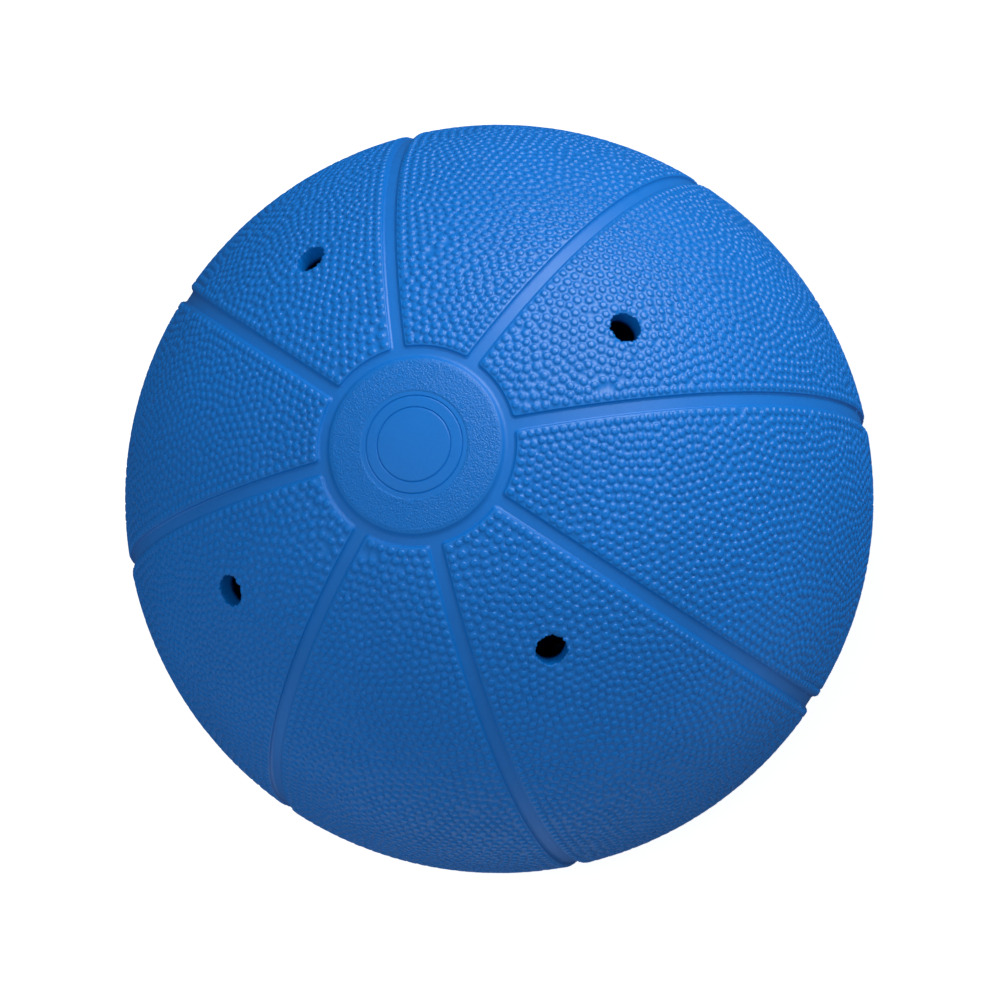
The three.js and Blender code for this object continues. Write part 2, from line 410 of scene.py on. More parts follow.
def settled_centres(rng):
    """Pebble centres on a panel: scattered at random, then pushed apart until they fill it to its edges."""
    margin = PEBBLE_RADIUS + PEBBLE_EDGE_GAP
    tries = on_sphere(
        np.arccos(rng.uniform(0, math.cos(INNER_POLAR), SCATTERED_POINTS)),
        rng.uniform(-PANEL_HALF_ANGLE, PANEL_HALF_ANGLE, SCATTERED_POINTS),
        LAND_RADIUS,
    )
    kept = edge_distance(tries) > margin - SCATTER_REACH * PEBBLE_PITCH
    area = 2 * PANEL_HALF_ANGLE * LAND_RADIUS ** 2 * math.cos(INNER_POLAR) * kept.mean()
    count = int(PEBBLE_FILL * area / (math.sqrt(0.75) * PEBBLE_PITCH ** 2))
    points = tries[kept][:count]
    wants = WANTED_DISTANCE * PEBBLE_PITCH * varied(rng, count, *PITCH_SHARES)
    for step in range(SETTLE_STEPS):
        points = LAND_RADIUS * unit(points)
        if step == JITTER_STEP:
            points += rng.normal(0, PEBBLE_JITTER, points.shape)
        if step % NEIGHBOUR_STEPS == 0:
            apart = ((points[:, None, :] - points[None, :, :]) ** 2).sum(-1)
            first, second = np.nonzero(np.triu(apart < (NEIGHBOUR_REACH * PEBBLE_PITCH) ** 2, 1))
            reach = (wants[first] + wants[second]) / 2
        across = points[first] - points[second]
        distance = np.maximum(np.linalg.norm(across, axis=1), 1e-6)
        push = across * (np.clip(reach - distance, 0, None) / distance * PUSH_SHARE)[:, None]
        for axis in range(3):
            points[:, axis] += np.bincount(first, push[:, axis], len(points))
            points[:, axis] -= np.bincount(second, push[:, axis], len(points))
        for inward in SIDE_IN:
            short = np.clip(CHANNEL_HALF + margin - points @ inward, 0, None)
            points += short[:, None] * inward
        inner, outer = end_distances(points)
        points[:, 2] -= np.clip(margin - inner, 0, None) * math.sin(INNER_POLAR)
        points[:, 0] += np.clip(margin - inner, 0, None) * math.cos(INNER_POLAR)
        points[:, 2] += np.clip(margin - outer, 0, None)
    return LAND_RADIUS * unit(points)


def panel_outline():
    """Points on the panel's edge, anticlockwise on the chart, and their outward directions.

    The directions are as long as the wall is wide, as a share of its width along the channels.
    """
    def edge_azimuth(polar, off):
        return PANEL_HALF_ANGLE - np.arcsin((CHANNEL_HALF + off) / (LAND_RADIUS * np.sin(polar)))

    inner_polar = INNER_POLAR + CORNER_RADIUS / LAND_RADIUS
    outer_polar = OUTER_POLAR - CORNER_RADIUS / LAND_RADIUS
    inner_azimuth = float(edge_azimuth(inner_polar, CORNER_RADIUS))
    outer_azimuth = float(edge_azimuth(outer_polar, CORNER_RADIUS))

    def polar_way(polar, azimuth):
        return on_sphere(polar + math.pi / 2, azimuth, 1.0)

    def stepped(start, end, radius):
        return np.linspace(start, end, int(abs(end - start) * radius / EDGE_STEP))

    def corner(polar, azimuth, from_way, to_way):
        middle = on_sphere(polar, azimuth, LAND_RADIUS)
        share = np.linspace(0, 1, CORNER_POINTS)[1:-1, None]
        ways = unit(from_way * (1 - share) + to_way * share)
        return middle + CORNER_RADIUS * ways, ways

    outward = -SIDE_IN
    azimuths = stepped(-outer_azimuth, outer_azimuth, LAND_RADIUS)
    outer = on_sphere(OUTER_POLAR, azimuths, LAND_RADIUS), polar_way(OUTER_POLAR, azimuths)
    polars = stepped(outer_polar, inner_polar, LAND_RADIUS)
    azimuths = edge_azimuth(polars, 0.0)
    side = np.ones((len(polars), 1))
    right = on_sphere(polars, azimuths, LAND_RADIUS), side * outward[0]
    left = on_sphere(polars[::-1], -azimuths[::-1], LAND_RADIUS), side * outward[1]
    azimuths = stepped(inner_azimuth, -inner_azimuth, LAND_RADIUS * math.sin(INNER_POLAR))
    inner = on_sphere(INNER_POLAR, azimuths, LAND_RADIUS), -polar_way(INNER_POLAR, azimuths)
    corners = (
        corner(outer_polar, outer_azimuth, polar_way(outer_polar, outer_azimuth), outward[0]),
        corner(inner_polar, inner_azimuth, outward[0], -polar_way(inner_polar, inner_azimuth)),
        corner(inner_polar, -inner_azimuth, -polar_way(inner_polar, -inner_azimuth), outward[1]),
        corner(outer_polar, -outer_azimuth, outward[1], polar_way(outer_polar, -outer_azimuth)),
    )
    runs = (outer, corners[0], right, corners[1], inner, corners[2], left, corners[3])
    points, ways = (np.concatenate(rows) for rows in zip(*runs))
    widths = np.interp(end_distances(points)[1], [0, CORNER_RADIUS], [PARTING_SHARE, 1.0])[:, None]
    normals = unit(points)
    ways = unit(ways - (ways * normals).sum(1, keepdims=True) * normals)
    return LAND_RADIUS * normals, ways * widths


def moulded_step(depth, slope, toe_fillet):
    """A step in section as (reach, drop): a rounded edge, a wall sloping through reach 0 and a hollow toe."""
    wall_drop = depth - (EDGE_FILLET + toe_fillet) * (1 - math.cos(slope))
    wall_half = wall_drop / math.tan(slope) / 2
    start = -wall_half - EDGE_FILLET * math.sin(slope)
    end = wall_half + toe_fillet * math.sin(slope)
    points = [
        (start + EDGE_FILLET * math.sin(turn), EDGE_FILLET * (1 - math.cos(turn)))
        for turn in np.linspace(0, slope, EDGE_FILLET_POINTS)
    ]
    points += [
        (end - toe_fillet * math.sin(turn), depth - toe_fillet * (1 - math.cos(turn)))
        for turn in np.linspace(slope, TOE_END_SLOPE, TOE_FILLET_POINTS)
    ]
    return points


def edge_profile():
    """The panel's edge in section, from the land down to inside the core."""
    depth = LAND_RADIUS - FLOOR_RADIUS
    points = moulded_step(depth, WALL_SLOPE, TOE_FILLET)
    return points + [(points[-1][0], depth + WALL_TUCK)]


def round_row(count):
    """The numbers of the points in a closed row, and for each the number of the next."""
    i = np.arange(count)
    return i, (i + 1) % count


def ring_strip(first, second, count):
    """Triangles between two closed rows of points, given where each row starts."""
    i, j = round_row(count)
    lower = np.stack([first + i, second + i, second + j], 1)
    upper = np.stack([first + i, second + j, first + j], 1)
    return np.concatenate([lower, upper])


def end_caps(last, middle, count):
    """Fans over the first row, which starts at 0, and the last, about two middle points in a row."""
    i, j = round_row(count)
    return np.concatenate([
        np.stack([np.full(count, middle), i, j], 1),
        np.stack([np.full(count, middle + 1), last + j, last + i], 1),
    ])


def triangulated(flat, loops):
    """Triangles between the chart points, inside the first loop and outside the others, all anticlockwise."""
    edges = [(int(loop[i]), int(loop[(i + 1) % len(loop)])) for loop in loops for i in range(len(loop))]
    scaled = [Vector(point) for point in (flat / MM).tolist()]
    corners, _, faces, origins, _, _ = delaunay_2d_cdt(scaled, edges, [], 0, 1e-6, True)
    assert len(corners) == len(flat)
    faces = np.array([origin[0] for origin in origins])[np.array(faces)]
    a, b, c = (flat[faces[:, k]] for k in range(3))
    area = (b[:, 0] - a[:, 0]) * (c[:, 1] - a[:, 1]) - (b[:, 1] - a[:, 1]) * (c[:, 0] - a[:, 0])
    faces[area < 0] = faces[area < 0][:, ::-1]
    kept = np.abs(area) > 1e-16
    for number, loop in enumerate(loops):
        place = np.full(len(flat), -1)
        place[loop] = np.arange(len(loop))
        along = place[faces]
        whole = (along >= 0).all(1)
        first = along.argmin(1)
        rows = np.arange(len(faces))
        rising = along[rows, (first + 1) % 3] < along[rows, (first + 2) % 3]
        kept &= ~whole | (rising if number == 0 else ~rising)
    return faces[kept]


class Shape:
    """Points and triangles gathered in order, mostly as closed rows that are joined one to the next."""

    def __init__(self):
        self.points = []
        self.triangles = []
        self.total = 0

    def add(self, points):
        """Adds points and returns the number of the first."""
        start = self.total
        self.points.append(points)
        self.total += len(points)
        return start

    def join(self, last, start, count, turned=False):
        """Joins two rows that are there already, by the numbers of their first points."""
        strip = ring_strip(last, start, count)
        self.triangles.append(strip[:, ::-1] if turned else strip)

    def add_row(self, points, last, turned=False):
        """Adds a row, joins it to the last one and returns the number of its first point."""
        start = self.add(points)
        self.join(last, start, len(points), turned)
        return start

    def joined(self):
        return np.concatenate(self.points), np.concatenate(self.triangles)


def pebble_rise(distance):
    """Height of a pebble's profile, as a share of its full height, at a share of its radius."""
    radii, heights = zip(*PEBBLE_PROFILE)
    return np.interp(distance, radii, heights)


def pebble_points(rng, centres, edge_reach):
    """Every pebble's points on the land and their rise above it, and each pebble's radius and height."""
    count = len(centres)
    apart = np.linalg.norm(centres[:, None, :] - centres[None, :, :], axis=-1)
    np.fill_diagonal(apart, 1.0)
    squeeze = varied(rng, count, *SQUEEZE_SHARES)
    sizes = PEBBLE_RADIUS * varied(rng, count, *SIZE_SHARES)
    room = np.minimum(apart.min(1) / 2, edge_distance(centres) + edge_reach) - PEBBLE_GAP
    sizes = np.minimum(sizes, room / PEBBLE_SQUEEZE_MOST)
    heights = PEBBLE_HEIGHT * varied(rng, count, *HEIGHT_SHARES)
    phase = rng.uniform(0, 2 * math.pi, count)
    normals = unit(centres)
    first = unit(np.cross(normals, (0.0, 0.0, 1.0)))
    second = np.cross(normals, first)
    surface = []
    rises = []
    for (share, rise), corners in zip(PEBBLE_PROFILE, PEBBLE_RING_POINTS):
        turns = phase[:, None] + 2 * math.pi * np.arange(corners)[None, :] / corners + share * PEBBLE_TWIST
        reach = (share * sizes)[:, None, None]
        ways = (
            np.cos(turns)[..., None] * first[:, None, :] * squeeze[:, None, None]
            + np.sin(turns)[..., None] * second[:, None, :] / squeeze[:, None, None]
        )
        surface.append((centres[:, None, :] + reach * ways).reshape(-1, 3))
        rises.append(np.repeat(heights * rise, corners))
    return LAND_RADIUS * unit(np.concatenate(surface)), np.concatenate(rises), sizes, heights


class SoundHole:
    """A hole round an axis through the ball's centre, with a torn mouth on the land."""

    def __init__(self, rng, axis):
        self.axis = axis
        self.across = unit(np.cross(axis, (0.0, 1.0, 0.0)))
        self.beside = np.cross(axis, self.across)
        self.turns = 2 * math.pi * np.arange(HOLE_SEGMENTS) / HOLE_SEGMENTS
        phases = rng.uniform(0, 2 * math.pi, len(TEAR_WAVES))
        waves = np.sin(self.turns[:, None] * np.array(TEAR_WAVES) + phases)
        self.ragged = rng.normal(0, TEAR_NOISE, HOLE_SEGMENTS) + TEAR_DEPTH * waves.mean(1)
        self.spoke = np.outer(np.cos(self.turns), self.across) + np.outer(np.sin(self.turns), self.beside)
        self.mouth_radius = HOLE_RADIUS + self.ragged
        self.mouth_height = np.sqrt(LAND_RADIUS ** 2 - self.mouth_radius ** 2)

    def row(self, radius, height):
        """A closed row of points at distances from the hole's axis and heights along it."""
        return np.reshape(radius, (-1, 1)) * self.spoke + np.reshape(height, (-1, 1)) * self.axis

    def leaves(self, points):
        """Whether each point on the land lies clear of the torn mouth."""
        height = points @ self.axis
        off_axis = np.linalg.norm(points - height[:, None] * self.axis, axis=1)
        angle = np.arctan2(points @ self.beside, points @ self.across) % (2 * math.pi)
        closed_turns = np.append(self.turns, 2 * math.pi)
        closed_radius = np.append(self.mouth_radius, self.mouth_radius[0])
        return (off_axis > np.interp(angle, closed_turns, closed_radius) + TEAR_MARGIN) | (height < 0)


def add_bore(shape, rng, hole, mouth_rise, mouth_start, under_radius):
    """Adds the bore's lining, down to the hollow and back up inside the core's rubber."""
    mouth_height = hole.mouth_height + mouth_rise
    hollow_height = math.sqrt(HOLLOW_RADIUS ** 2 - HOLE_RADIUS ** 2)
    last = mouth_start
    for share, keep in BORE_ROWS:
        height = mouth_height + (hollow_height - mouth_height) * share
        radius = HOLE_RADIUS + hole.ragged * keep + rng.normal(0, BORE_NOISE, HOLE_SEGMENTS)
        last = shape.add_row(hole.row(radius, height), last, True)
    for radius in (HOLLOW_RADIUS, under_radius):
        height = math.sqrt(radius ** 2 - SLEEVE_RADIUS ** 2)
        last = shape.add_row(hole.row(SLEEVE_RADIUS, height), last, True)
    return last


def add_underside(shape, loops, under_radius, hole_axis):
    """Adds the hidden underside, inside the core, between the outline's last row and the bore's."""
    grid = np.stack(np.meshgrid(UNDER_STEPS, UNDER_STEPS), -1).reshape(-1, 2)
    inside = from_chart(grid)
    well_in = edge_distance(inside) > UNDER_EDGE_MARGIN
    if hole_axis is not None:
        well_in &= unit(inside) @ hole_axis < math.cos(UNDER_HOLE_MARGIN / LAND_RADIUS)
    start = shape.add(under_radius * unit(inside[well_in]))
    known = np.concatenate(loops + [np.arange(start, shape.total)])
    starts = np.cumsum([0] + [len(loop) for loop in loops])
    local_loops = [first + np.arange(len(loop)) for first, loop in zip(starts, loops)]
    flat = to_chart(np.concatenate(shape.points)[known])
    shape.triangles.append(known[triangulated(flat, local_loops)][:, ::-1])


def build_panel(seed, hole_axis=None):
    """One closed pebbled panel about azimuth 0, as points and triangles."""
    rng = np.random.default_rng(seed)
    centres = settled_centres(rng)
    profile = edge_profile()
    edge_reach = profile[0][0]
    surface, rise, sizes, heights = pebble_points(rng, centres, edge_reach)
    outline, outward = panel_outline()
    rim = LAND_RADIUS * unit(outline + edge_reach * outward)
    loops = [np.arange(len(rim))]
    parts = [rim]
    lifts = [np.zeros(len(rim))]
    if hole_axis is not None:
        hole = SoundHole(rng, hole_axis)
        kept = hole.leaves(surface)
        surface = surface[kept]
        rise = rise[kept]
        mouth = hole.row(hole.mouth_radius, hole.mouth_height)
        gaps = np.linalg.norm(mouth[:, None, :] - centres[None, :, :], axis=-1)
        mouth_rise = (pebble_rise(gaps / sizes) * heights).max(1)
        loops.append(len(rim) + np.arange(HOLE_SEGMENTS))
        parts.append(mouth)
        lifts.append(mouth_rise)
    land = np.concatenate(parts + [surface])
    lift = np.concatenate(lifts + [rise])

    shape = Shape()
    shape.triangles.append(triangulated(to_chart(land), loops))
    last = shape.add(land * (1 + lift / LAND_RADIUS)[:, None])
    for reach, drop in profile[1:]:
        last = shape.add_row((LAND_RADIUS - drop) * unit(outline + reach * outward), last)
    under_radius = LAND_RADIUS - profile[-1][1]
    under_loops = [last + np.arange(len(outline))]
    if hole_axis is not None:
        last = add_bore(shape, rng, hole, mouth_rise, len(rim), under_radius)
        under_loops.append(last + np.arange(HOLE_SEGMENTS))
    add_underside(shape, under_loops, under_radius, hole_axis)
    return shape.joined()


# The core: end disc, groove, channel floors and the inner wall, as one turned profile

def lathe(profile, segments):
    """Points and faces of a profile of (radius, height) turned about Z; it starts and ends on the axis."""
    profile = np.array(profile)
    body = profile[1:-1]
    turns = 2 * math.pi * np.arange(segments) / segments
    rows = np.stack([
        body[:, None, 0] * np.cos(turns),
        body[:, None, 0] * np.sin(turns),
        np.broadcast_to(body[:, None, 1], (len(body), segments)),
    ], -1).reshape(-1, 3)
    points = np.concatenate([rows, [[0, 0, profile[0, 1]], [0, 0, profile[-1, 1]]]])
    i, j = round_row(segments)
    upper = np.arange(len(body) - 1)[:, None] * segments
    lower = upper + segments
    quads = np.stack([upper + i, lower + i, lower + j, upper + j], -1).reshape(-1, 4)
    return points, [quads, end_caps(len(rows) - segments, len(rows), segments)]


def arc_points(radius, start, end, count):
    """(radius, height) points along a circle about the origin, by polar angle."""
    polar = np.linspace(start, end, count)
    return [(radius * math.sin(p), radius * math.cos(p)) for p in polar]


def core_profile():
    """The upper half's section: out over the disc, down to the equator and back along the inner wall."""
    def disc_point(distance, drop=0.0):
        radius = DISC_TOP_RADIUS - drop
        return (distance, math.sqrt(radius ** 2 - distance ** 2))

    points = [disc_point(0.0)]
    points += [disc_point(row) for row in DISC_INNER_ROWS]
    for ring, rows in zip(RING_RADII, (DISC_MIDDLE_ROWS, DISC_OUTER_ROWS)):
        points += [disc_point(ring + across * RING_HALF, down * RING_DEPTH) for across, down in RING_SECTION]
        points += [disc_point(row) for row in rows]
    points += [disc_point(row, -GRAIN_RISE) for row in DISC_GRAIN_ROWS]
    step = moulded_step(DISC_TOP_RADIUS - FLOOR_RADIUS + GRAIN_RISE, DISC_WALL_SLOPE, DISC_TOE_FILLET)
    points += [disc_point(DISC_RADIUS + reach, drop - GRAIN_RISE) for reach, drop in step]
    start = math.asin((DISC_RADIUS + step[-1][0] + DISC_TOE_MARGIN) / FLOOR_RADIUS)
    points += arc_points(FLOOR_RADIUS, start, math.acos(HALVES_SPLIT / FLOOR_RADIUS), FLOOR_ROWS)
    points += arc_points(HOLLOW_RADIUS, math.acos(HALVES_SPLIT / HOLLOW_RADIUS), 0.0, HOLLOW_ROWS)[:-1]
    points.append((0.0, HOLLOW_RADIUS))
    return points


def cut_by(target, cutter):
    """Cuts the cutter's space out of the target for good, and removes the cutter."""
    modifier = target.modifiers.new("cut", "BOOLEAN")
    modifier.operation = "DIFFERENCE"
    modifier.solver = "EXACT"
    modifier.object = cutter
    bpy.context.view_layer.update()
    evaluated = target.evaluated_get(bpy.context.evaluated_depsgraph_get())
    mesh = bpy.data.meshes.new_from_object(evaluated)
    target.modifiers.clear()
    old = target.data
    target.data = mesh
    bpy.data.meshes.remove(old)
    bpy.data.objects.remove(cutter)


def hole_direction(number, from_middle=False):
    """A sound hole's axis, in the ball's frame or in its own panel's frame."""
    azimuth = math.radians(HOLE_OFF_MIDDLE_DEGREES)
    if not from_middle:
        azimuth += PANEL_HALF_ANGLE * (1 + 4 * number)
    return on_sphere(math.radians(HOLE_POLAR_DEGREES[number]), azimuth, 1.0)


def hole_cutters():
    """Four closed cylinders along the sound holes, as one object."""
    work = bmesh.new()
    for number in range(len(HOLE_POLAR_DEGREES)):
        direction = Vector(hole_direction(number))
        middle = direction * (FLOOR_RADIUS + HOLLOW_RADIUS) / 2
        turn = direction.to_track_quat("Z", "Y").to_matrix().to_4x4()
        bmesh.ops.create_cone(
            work, cap_ends=True, segments=CORE_HOLE_SEGMENTS, radius1=CORE_HOLE_RADIUS,
            radius2=CORE_HOLE_RADIUS, depth=4 * (FLOOR_RADIUS - HOLLOW_RADIUS),
            matrix=Matrix.Translation(middle) @ turn,
        )
    mesh = bpy.data.meshes.new("hole_cutters")
    work.to_mesh(mesh)
    work.free()
    made = bpy.data.objects.new("hole_cutters", mesh)
    bpy.context.scene.collection.objects.link(made)
    return made


def turned_over(points):
    return points * (1.0, -1.0, -1.0)


def turned_about_z(points, angle):
    c, s = math.cos(angle), math.sin(angle)
    return points @ np.array([[c, s, 0.0], [-s, c, 0.0], [0.0, 0.0, 1.0]])


# Jingle bells, each about its own centre with the loop along +Z

def dome_chart_point(flat, radius):
    """Chart points, measured from the crown along the bell's outer face, on a sphere of some radius."""
    reach = np.linalg.norm(flat, axis=1)
    return on_sphere(reach / BELL_RADIUS, np.arctan2(flat[:, 1], flat[:, 0]), radius)


def slot_outline():
    """The crossed slots' edge on the chart, anticlockwise, with the direction into the slot."""
    half = SLOT_WIDTH / 2
    middle = BELL_RADIUS * SLOT_END_POLAR
    meet = math.asin(half / SLOT_END_RADIUS)
    side_end = middle - SLOT_END_RADIUS * math.cos(meet)
    side = np.linspace(half, side_end, int((side_end - half) / SLOT_STEP), endpoint=False)
    turns = np.linspace(meet - math.pi, math.pi - meet, SLOT_END_POINTS)
    round_end = np.stack([middle + SLOT_END_RADIUS * np.cos(turns), SLOT_END_RADIUS * np.sin(turns)], -1)
    back = np.linspace(side_end, half, len(side) + 1)[1:-1]
    arm = np.concatenate([
        np.stack([side, np.full(len(side), -half)], -1),
        round_end,
        np.stack([back, np.full(len(back), half)], -1),
    ])
    arms = []
    for number in range(SLOT_ARMS):
        turn = math.pi / SLOT_ARMS + number * 2 * math.pi / SLOT_ARMS
        c, s = math.cos(turn), math.sin(turn)
        arms.append(arm @ np.array([[c, s], [-s, c]]))
    points = np.concatenate(arms)
    along = np.roll(points, -1, 0) - np.roll(points, 1, 0)
    return points, unit(np.stack([-along[:, 1], along[:, 0]], -1))


def slot_edge():
    """The sheet's rounded edge at the slots, as (reach into the slot, depth below the outer face)."""
    upper = [
        (-SLOT_EDGE_ROUND * (1 - math.sin(turn)), SLOT_EDGE_ROUND * (1 - math.cos(turn)))
        for turn in SLOT_EDGE_TURNS
    ]
    return upper + [(reach, BELL_SHEET - depth) for reach, depth in reversed(upper)]


def dome_spots():
    """Points spread evenly over the dome's chart in rings, every other ring turned by half a step."""
    spots = [np.zeros((1, 2))]
    for number, ring in enumerate(DOME_RINGS, 1):
        girth = 2 * math.pi * BELL_RADIUS * math.sin(ring / BELL_RADIUS)
        count = int(girth / DOME_PITCH)
        spread = 2 * math.pi * (np.arange(count) + 0.5 * (number % 2)) / count
        spots.append(ring * np.stack([np.cos(spread), np.sin(spread)], -1))
    return np.concatenate(spots)


def clear_of_slots(spots, outline, into):
    """The spots that lie on the sheet, away from the slots' edge."""
    gaps = np.linalg.norm(spots[:, None, :] - outline[None, :, :], axis=-1)
    closest = gaps.argmin(1)
    outside = ((spots - outline[closest]) * into[closest]).sum(1) < 0
    return spots[outside & (gaps.min(1) > DOME_SLOT_GAP)]


def bell_cup(rim, slotted):
    """A closed pressed cup, crown up: a dome outside and one inside, joined by the rim's points."""
    turns = 2 * math.pi * np.arange(CUP_SEGMENTS) / CUP_SEGMENTS
    around = np.stack([np.cos(turns), np.sin(turns)], -1)
    spots = dome_spots()
    if slotted:
        outline, into = slot_outline()
        edge = slot_edge()
        spots = clear_of_slots(spots, outline, into)
    shape = Shape()
    starts = []
    for radius, rim_point in ((BELL_RADIUS, rim[0]), (BELL_RADIUS - BELL_SHEET, rim[-1])):
        reach = BELL_RADIUS * math.atan2(*rim_point)
        loops = [np.arange(CUP_SEGMENTS)]
        flat = [reach * around]
        if slotted:
            loops.append(CUP_SEGMENTS + np.arange(len(outline)))
            flat.append(outline + edge[0][0] * into)
        flat.append(spots[np.linalg.norm(spots, axis=1) < reach - DOME_RIM_GAP])
        flat = np.concatenate(flat)
        made = triangulated(flat, loops)
        start = shape.add(dome_chart_point(flat, radius))
        shape.triangles.append(start + (made[:, ::-1] if starts else made))
        starts.append(start)
    outer, inner = starts
    last = outer
    for radius, height in rim[1:-1]:
        last = shape.add_row(np.column_stack([radius * around, np.full(CUP_SEGMENTS, height)]), last)
    shape.join(last, inner, CUP_SEGMENTS)
    if slotted:
        last = outer + CUP_SEGMENTS
        for reach, depth in edge[1:-1]:
            last = shape.add_row(dome_chart_point(outline + reach * into, BELL_RADIUS - depth), last, True)
        shape.join(last, inner + CUP_SEGMENTS, len(outline), True)
    return shape.joined()


def rim_from(outer_height, flange, inner_height):
    """A cup's rim in section, from the dome's outer face over the flange to its inner face."""
    inside = BELL_RADIUS - BELL_SHEET
    return (
        [(math.sqrt(BELL_RADIUS ** 2 - outer_height ** 2), outer_height)]
        + [(radius * MM, height * MM) for radius, height in flange]
        + [(math.sqrt(inside ** 2 - inner_height ** 2), inner_height)]
    )


def bell_loop():
    """A bent wire with a solder fillet round each foot, as points and faces."""
    foot = math.sqrt((BELL_RADIUS - LOOP_SINK) ** 2 - LOOP_HALF ** 2)
    arch_base = LOOP_TOP - WIRE_RADIUS - LOOP_HALF
    turns = np.linspace(math.pi, 0, LOOP_ARCH_STEPS + 1)[1:-1]
    path = [(-LOOP_HALF, foot + height * MM) for height, _ in LOOP_FOOT_ROWS]
    path += [(LOOP_HALF * math.cos(turn), arch_base + LOOP_HALF * math.sin(turn)) for turn in turns]
    path += [(LOOP_HALF, foot + height * MM) for height, _ in reversed(LOOP_FOOT_ROWS)]
    path = np.array(path)
    foot_swells = [swell for _, swell in LOOP_FOOT_ROWS]
    swells = foot_swells + [1.0] * len(turns) + foot_swells[::-1]
    along = unit(np.gradient(path, axis=0))
    aside = np.stack([-along[:, 1], along[:, 0]], -1)
    count = WIRE_SEGMENTS
    spin = 2 * math.pi * np.arange(count) / count
    rows = []
    for (x, z), (out_x, out_z), swell in zip(path, aside, swells):
        reach = WIRE_RADIUS * swell
        out = reach * np.cos(spin)
        rows.append(np.stack([x + out * out_x, reach * np.sin(spin), z + out * out_z], -1))
    faces = [ring_strip(row * count, (row + 1) * count, count) for row in range(len(rows) - 1)]
    faces.append(end_caps((len(rows) - 1) * count, len(rows) * count, count))
    points = np.concatenate(rows + [[[path[0, 0], 0, path[0, 1]], [path[-1, 0], 0, path[-1, 1]]]])
    return points, np.concatenate(faces)


def bell_pellet(seed):
    """A cold-headed steel shot with the faint ridge that its die leaves and a few dents."""
    rng = np.random.default_rng(seed)
    from_ridge = np.abs(PELLET_POLAR_DEGREES - 90) / RIDGE_HALF_DEGREES
    radii = PELLET_RADIUS - RIDGE_HEIGHT + RIDGE_HEIGHT * np.clip(1 - from_ridge, 0, 1)
    profile = [
        (radius * math.sin(polar), radius * math.cos(polar))
        for radius, polar in zip(radii, np.radians(PELLET_POLAR_DEGREES))
    ]
    points, faces = lathe(profile, PELLET_SEGMENTS)
    ways = unit(points)
    for dent in unit(rng.normal(size=(DENT_COUNT, 3))):
        away = np.arccos(np.clip(ways @ dent, -1, 1)) * PELLET_RADIUS
        width = rng.uniform(*DENT_WIDTHS) * MM
        points -= ways * (rng.uniform(*DENT_DEPTHS) * MM * np.exp(-(away / width) ** 2))[:, None]
    turn = rng.uniform(*PELLET_TURNS)
    c, s = math.cos(turn), math.sin(turn)
    return points @ np.array([[1, 0, 0], [0, c, s], [0, -s, c]]), faces


# Materials

def new_material(name):
    """A material with its node tree, its shader and the object's own coordinates."""
    material = bpy.data.materials.new(name)
    material.use_nodes = True
    tree = material.node_tree
    place = tree.nodes.new("ShaderNodeTexCoord").outputs["Object"]
    return material, tree, tree.nodes["Principled BSDF"], place


def noise(tree, place, scale, detail, roughness):
    node = tree.nodes.new("ShaderNodeTexNoise")
    node.inputs["Scale"].default_value = scale
    node.inputs["Detail"].default_value = detail
    node.inputs["Roughness"].default_value = roughness
    tree.links.new(place, node.inputs["Vector"])
    return node.outputs["Fac"]


def ranged(tree, value, low, high, from_low=0.0, from_high=1.0):
    node = tree.nodes.new("ShaderNodeMapRange")
    node.inputs["From Min"].default_value = from_low
    node.inputs["From Max"].default_value = from_high
    node.inputs["To Min"].default_value = low
    node.inputs["To Max"].default_value = high
    tree.links.new(value, node.inputs["Value"])
    return node.outputs["Result"]


def math_node(tree, operation, first, second):
    node = tree.nodes.new("ShaderNodeMath")
    node.operation = operation
    for value, socket in ((first, node.inputs[0]), (second, node.inputs[1])):
        if isinstance(value, (int, float)):
            socket.default_value = value
        else:
            tree.links.new(value, socket)
    return node.outputs[0]


def times(tree, first, second):
    return math_node(tree, "MULTIPLY", first, second)


def plus(tree, first, second):
    return math_node(tree, "ADD", first, second)


def blended(tree, share, first, second):
    node = tree.nodes.new("ShaderNodeMix")
    node.data_type = "RGBA"
    tree.links.new(share, node.inputs["Factor"])
    node.inputs["A"].default_value = (*first, 1)
    node.inputs["B"].default_value = (*second, 1)
    return node.outputs["Result"]


def bumped(tree, shader, height, distance, strength):
    node = tree.nodes.new("ShaderNodeBump")
    node.inputs["Distance"].default_value = distance
    node.inputs["Strength"].default_value = strength
    tree.links.new(height, node.inputs["Height"])
    tree.links.new(node.outputs["Normal"], shader.inputs["Normal"])


def by_radius(tree, place, low, high, from_radius=LAND_RADIUS, to_radius=CREST_RADIUS):
    """A value that runs from one to another between two distances from the ball's centre."""
    length = tree.nodes.new("ShaderNodeVectorMath")
    length.operation = "LENGTH"
    tree.links.new(place, length.inputs[0])
    return ranged(tree, length.outputs["Value"], low, high, from_radius, to_radius)


